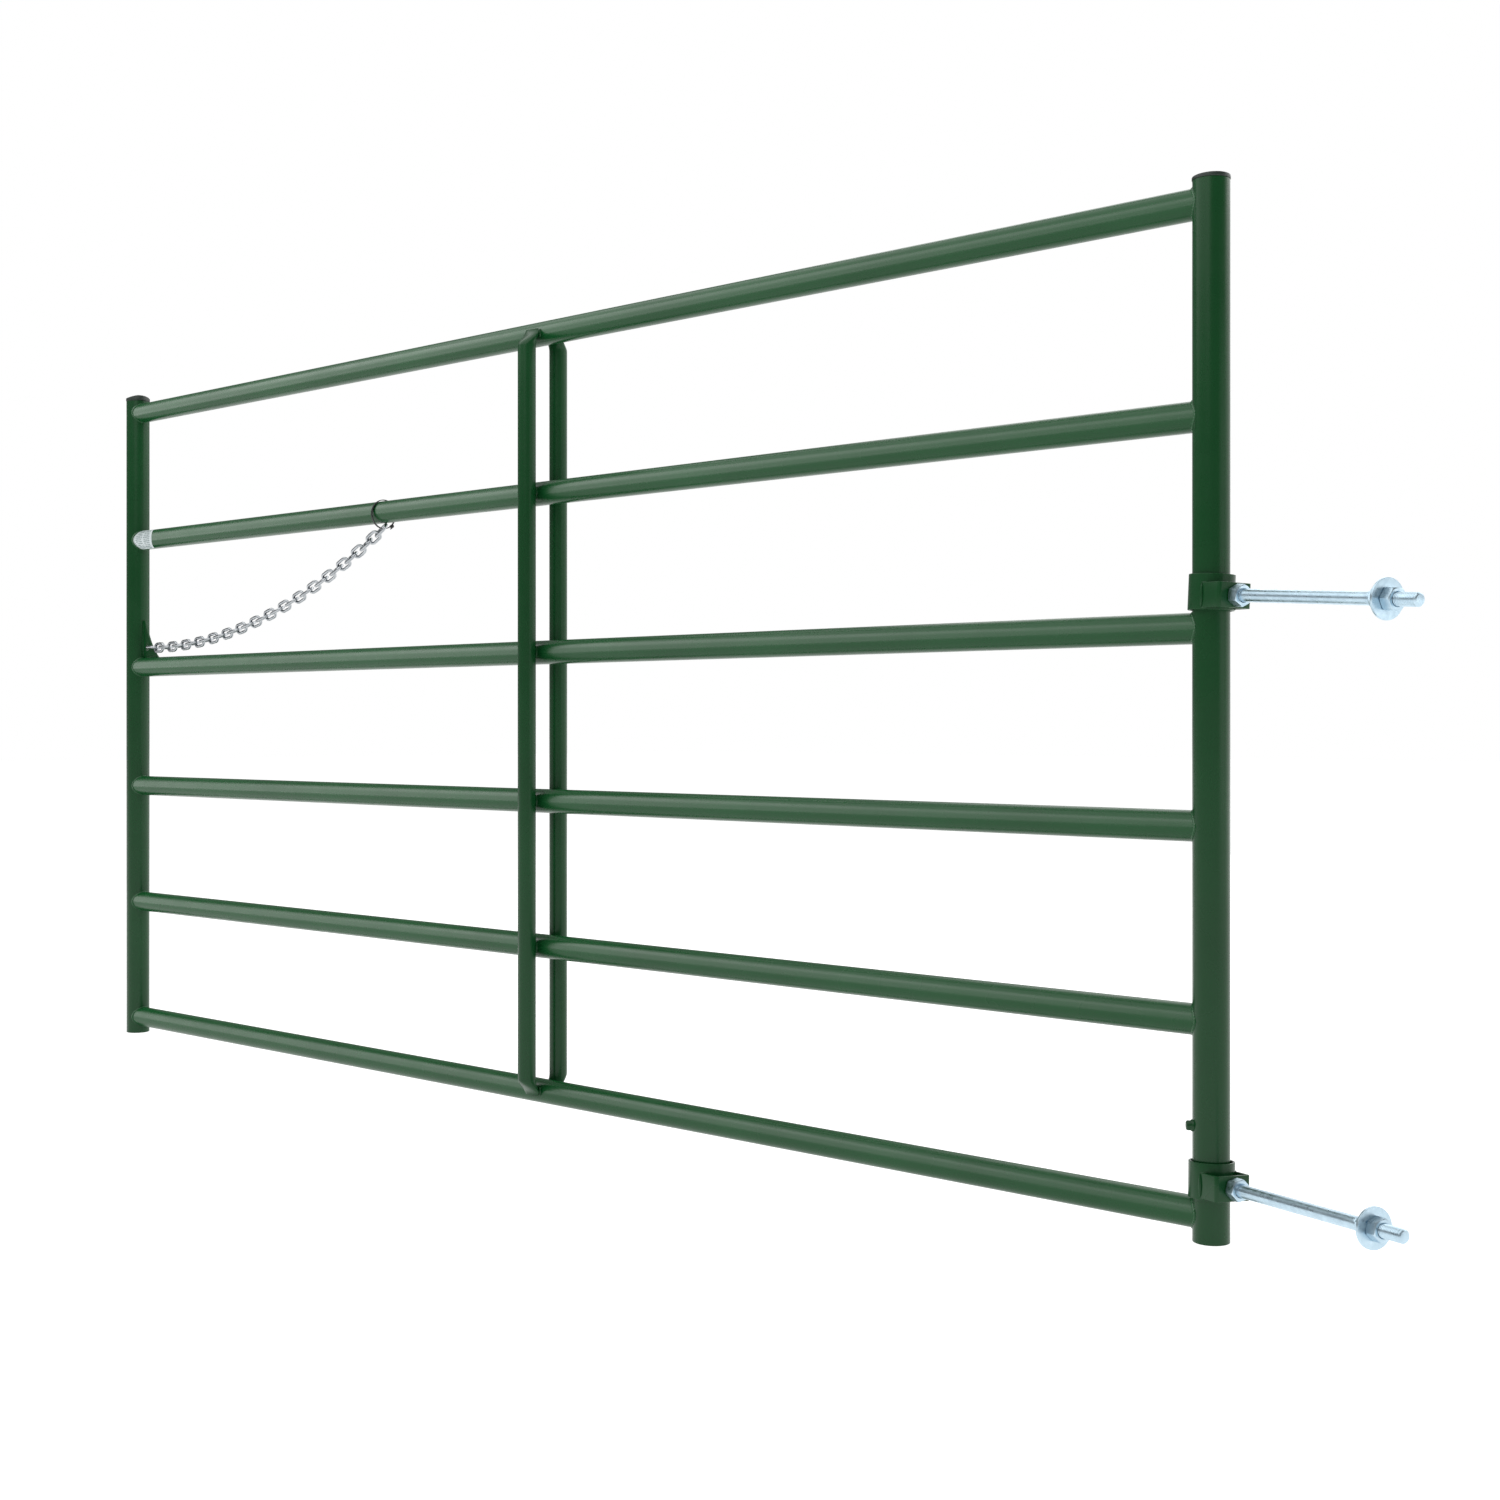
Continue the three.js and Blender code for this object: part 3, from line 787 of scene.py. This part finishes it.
def chain_plate():
    """A corner plate with a hollow long edge and a hole, welded to the upright and to rail 3."""
    low = box_mm("chain_plate")[0]
    outline = [(0, 0), (PLATE_WIDTH, 0)]
    for i in range(1, 13):
        t = i / 12
        start = Vector((PLATE_WIDTH, 0))
        pull = Vector((PLATE_WIDTH * 0.45, PLATE_HEIGHT * 0.28))
        end = Vector((PLATE_WIDTH * 0.12, PLATE_HEIGHT))
        outline.append(tuple(start * (1 - t) ** 2 + pull * (2 * t * (1 - t)) + end * t**2))
    outline.append((0, PLATE_HEIGHT))
    hole = [(PLATE_HOLE[0] + x, PLATE_HOLE[1] + y) for x, y, _ in circle(PLATE_HOLE_R, 0, 32)]
    shape = Shape().add_mesh(plate_mesh(outline, [hole], PLATE_THICKNESS, 0.6))
    shape.moved(Matrix.Rotation(math.pi / 2, 4, "X"))
    for way in (-1, 1):
        y = way * PLATE_THICKNESS / 2
        shape.add(blob((0.6, y, PLATE_HEIGHT * 0.48), (2.2, 2.2, PLATE_HEIGHT * 0.46)))
        shape.add(blob((PLATE_WIDTH * 0.5, y, 0.4), (PLATE_WIDTH * 0.45, 2.2, 2.0)))
    shape.moved(Matrix.Translation((low.x, 0, low.z)))
    finish_piece(shape.build("chain_plate_gusset"), "green_powder_coat", nodes=["chain_plate"])


def link_place(node):
    """A CAD link's own frame from its vertices: X along it, Y across it and Z square to it."""
    points = np.array([tuple(v.co) for v in frame["nodes"][node].data.vertices]) / MM
    centre = (points.min(axis=0) + points.max(axis=0)) / 2
    _, directions = np.linalg.eigh(np.cov((points - centre).T))
    along = Vector(directions[:, 2])
    along *= 1 if along.x > 0 else -1
    normal = Vector(directions[:, 0])
    across = normal.cross(along)
    matrix = Matrix((along, across, normal)).transposed().to_4x4()
    return Matrix.Translation(centre) @ matrix


def chain_link(node, index):
    """A stadium of round wire, with its butt weld on one long side."""
    bend = LINK_INSIDE[1] / 2 + LINK_WIRE_R
    straight = LINK_INSIDE[0] / 2 + LINK_WIRE_R - bend
    path = []
    for way in (1, -1):
        for i in range(17):
            angle = math.pi * (i / 16 - 0.5)
            point = Vector((way * (straight + bend * math.cos(angle)), way * bend * math.sin(angle), 0))
            out = Vector((way * math.cos(angle), way * math.sin(angle), 0))
            path.append((point, Vector((0, 0, 1)), out))
        if way == 1:
            for x in (2.6, 1.3, 0, -1.3, -2.6):
                path.append((Vector((x, bend, 0)), Vector((0, 0, 1)), Vector((0, 1, 0))))
    weld = 19 / len(path)

    def section(t):
        swell = 1 + 0.17 * math.exp(-((t - weld) / 0.028) ** 2)
        size = LINK_WIRE_R * swell
        return [(size * math.cos(a), size * math.sin(a)) for a in np.linspace(0, 2 * math.pi, 17)[:-1]]

    shape = swept(path, section)
    side = Matrix.Rotation(math.pi if index % 3 == 1 else 0, 4, "X")
    shape.moved(link_place(node) @ side)
    finish_piece(shape.build(node + "_wire", sharp=60), "chain_zinc", nodes=[node])


def cable_tie():
    """A nylon strap round the rail, its tail pulled through the head and cut short."""
    low, high = box_mm("cable_tie")
    yaw = math.radians(TIE_YAW)
    centre = middle("cable_tie")
    forward = Vector((math.sin(yaw), math.cos(yaw), 0))
    width = Vector((math.cos(yaw), -math.sin(yaw), 0))
    half_z = (high.z - low.z) / 2 - TIE_THICKNESS / 2
    half_y = (high.y - low.y) / 2
    sideways = (half_y - TIE_WIDTH / 2 * math.sin(yaw)) / math.cos(yaw) - TIE_THICKNESS / 2
    steps = 96
    path = []
    for i in range(steps):
        angle = 2 * math.pi * i / steps
        out = Vector((0, 0, math.sin(angle) * sideways)) + forward * math.cos(angle) * half_z
        point = centre + forward * sideways * math.cos(angle) + Vector((0, 0, half_z * math.sin(angle)))
        path.append((point, width, out.normalized()))
    half = TIE_WIDTH / 2
    thick = TIE_THICKNESS / 2
    section = rounded([(-half, -thick), (half, -thick), (half, thick), (-half, thick)], 0.35, steps=2)
    strap = swept(path, section)

    place = centre + forward * sideways * 0.7 - Vector((0, 0, half_z * 0.714 + 1.9))
    turn = Matrix((width, forward, Vector((0, 0, 1)))).transposed().to_4x4()
    block = rounded([(-3.1, -2.8), (3.1, -2.8), (3.1, 2.8), (-3.1, 2.8)], 0.7, steps=3)
    rings = []
    for z, grow in ((-2.3, 0.86), (-1.9, 1.0), (1.9, 1.0), (2.3, 0.86)):
        rings.append([(x * grow, y * grow, z) for x, y in block])
    head = Shape().rings(rings)
    tail = rounded([(-1.9, -5.5), (1.9, -5.5), (1.9, 2), (-1.9, 2)], 0.5, steps=2)
    head.add(Shape().rings([[(x, y, z) for x, y in tail] for z in (-3.2, -2.2)]))
    head.moved(Matrix.Translation(place) @ turn @ Matrix.Rotation(math.radians(38), 4, "X"))
    strap.add(head)
    finish_piece(strap.build("cable_tie_strap"), "tie_nylon", nodes=["cable_tie"])


# ------------------------------------------------------------------ label round the latch end of rail 2
def label():
    """A film on the rail, with an edge that curves away from the upright."""
    z = middle("rail_2").z
    around_steps = 48
    across_steps = 10
    radius = RAIL_R + 0.16
    verts = []
    uvs = []
    for i in range(around_steps + 1):
        t = i / around_steps
        angle = math.radians(180 + LABEL_SWEEP * (t - 0.5))
        start = cope_depth(angle) + LABEL_START
        end = LABEL_END_X - 12 * math.sin(angle) ** 2
        for j in range(across_steps + 1):
            s = j / across_steps
            x = LATCH_X + start + (end - start) * s
            verts.append((x * MM, radius * math.cos(angle) * MM, (z - radius * math.sin(angle)) * MM))
            uvs.append((s, t))
    faces = []
    row = across_steps + 1
    for i in range(around_steps):
        for j in range(across_steps):
            a = i * row + j
            faces.append((a, a + 1, a + row + 1, a + row))
    mesh = bpy.data.meshes.new("rail_label")
    mesh.from_pydata(verts, [], faces)
    layer = mesh.uv_layers.new(name="UVMap")
    for loop in mesh.loops:
        layer.data[loop.index].uv = uvs[loop.vertex_index]
    for polygon in mesh.polygons:
        polygon.use_smooth = True
    thing = bpy.data.objects.new("rail_label", mesh)
    bpy.context.scene.collection.objects.link(thing)
    film = thing.modifiers.new("film", "SOLIDIFY")
    film.thickness = LABEL_THICKNESS * MM
    film.offset = -1
    finish_piece(thing, "label_film", body="gate_frame")


# ------------------------------------------------------------------ floor, light and background
def floor():
    """Pale studio paper just under the gate's foot."""
    mesh = bpy.data.meshes.new("floor")
    reach = 30
    z = FOOT * MM - 0.0005
    corners = [(-reach, -reach, z), (reach, -reach, z), (reach, reach, z), (-reach, reach, z)]
    mesh.from_pydata(corners, [], [(0, 1, 2, 3)])
    thing = bpy.data.objects.new("floor", mesh)
    bpy.context.scene.collection.objects.link(thing)
    paper = Material("studio_paper", (0.35, 0.35, 0.35), 0.9)
    paper.set("Emission Color", (1, 1, 1, 1))
    paper.set("Emission Strength", 0.96)
    paper.link(paper.span(paper.noise(2), 0.85, 0.95), paper.shader.inputs["Roughness"])
    mesh.materials.append(paper.data)


def softbox(name, place, target, size, radiance):
    """A rectangular light that faces its target. The camera doesn't see it."""
    light = bpy.data.lights.new(name, "AREA")
    light.shape = "RECTANGLE"
    light.size, light.size_y = size
    light.energy = math.pi * size[0] * size[1] * radiance
    thing = bpy.data.objects.new(name, light)
    thing.location = place
    thing.rotation_euler = (Vector(target) - Vector(place)).to_track_quat("-Z", "Y").to_euler()
    thing.visible_camera = False
    bpy.context.scene.collection.objects.link(thing)


def background(seen, lit):
    """Plain white, as bright as seen to the camera and as lit to everything else."""
    world = bpy.data.worlds.new("studio")
    world.use_nodes = True
    bpy.context.scene.world = world
    nodes = world.node_tree.nodes
    wires = world.node_tree.links
    shade = nodes["Background"]
    shade.inputs["Color"].default_value = (1, 1, 1, 1)
    path = nodes.new("ShaderNodeLightPath")
    level = nodes.new("ShaderNodeMapRange")
    level.inputs["To Min"].default_value = lit
    level.inputs["To Max"].default_value = seen
    wires.new(path.outputs["Is Camera Ray"], level.inputs["Value"])
    wires.new(level.outputs["Result"], shade.inputs["Strength"])


GATE_MIDDLE = (-1.2, 0, 0.55)
# Each softbox: its name, its place, what it faces, its width and height in metres and its radiance
SOFTBOXES = [
    ("overhead", (-1.6, -1.4, 3.4), GATE_MIDDLE, (7.0, 4.5), 1.5),
    ("hinge_side", (4.6, 0.8, 0.9), (0, 0, 0.5), (3.0, 2.6), 0.9),
    ("behind", (0.5, 4.6, 1.5), GATE_MIDDLE, (9.0, 4.5), 0.9),
    ("above_behind", (-0.6, 3.4, 4.2), GATE_MIDDLE, (8.0, 4.2), 1.5),
    ("latch_side", (-4.9, -3.9, 2.0), GATE_MIDDLE, (6.5, 6.0), 2.9),
]

# ------------------------------------------------------------------ build
upright("latch_upright")
upright("hinge_upright")
cap("latch_upright_cap", "latch_upright", wave=2.1, tilt=0.3)
cap("hinge_upright_cap", "hinge_upright", wave=0.15, tilt=0.9)
for rail_index, rail_name in enumerate(RAILS):
    rail(rail_name, rail_index)
stay("front_stay", -1)
stay("rear_stay", 1)
for hinge_name in HINGES:
    hinge(hinge_name)
lift_stop()
chain_plate()
links = sorted(node for node in frame["nodes"] if node.startswith("chain_link_"))
for link_index, link_name in enumerate(links):
    chain_link(link_name, link_index)
cable_tie()
label()

floor()
background(seen=1.0, lit=0.24)
for values in SOFTBOXES:
    softbox(*values)

# The latch side's light is flagged off the upright tubes, which stay dark in the photograph.
lit = bpy.data.collections.new("lit_from_the_latch_side")
for name in RAILS:
    lit.objects.link(bpy.data.objects[name + "_tube"])
bpy.data.objects["latch_side"].light_linking.receiver_collection = lit
bpy.context.scene.view_settings.view_transform = "Standard"
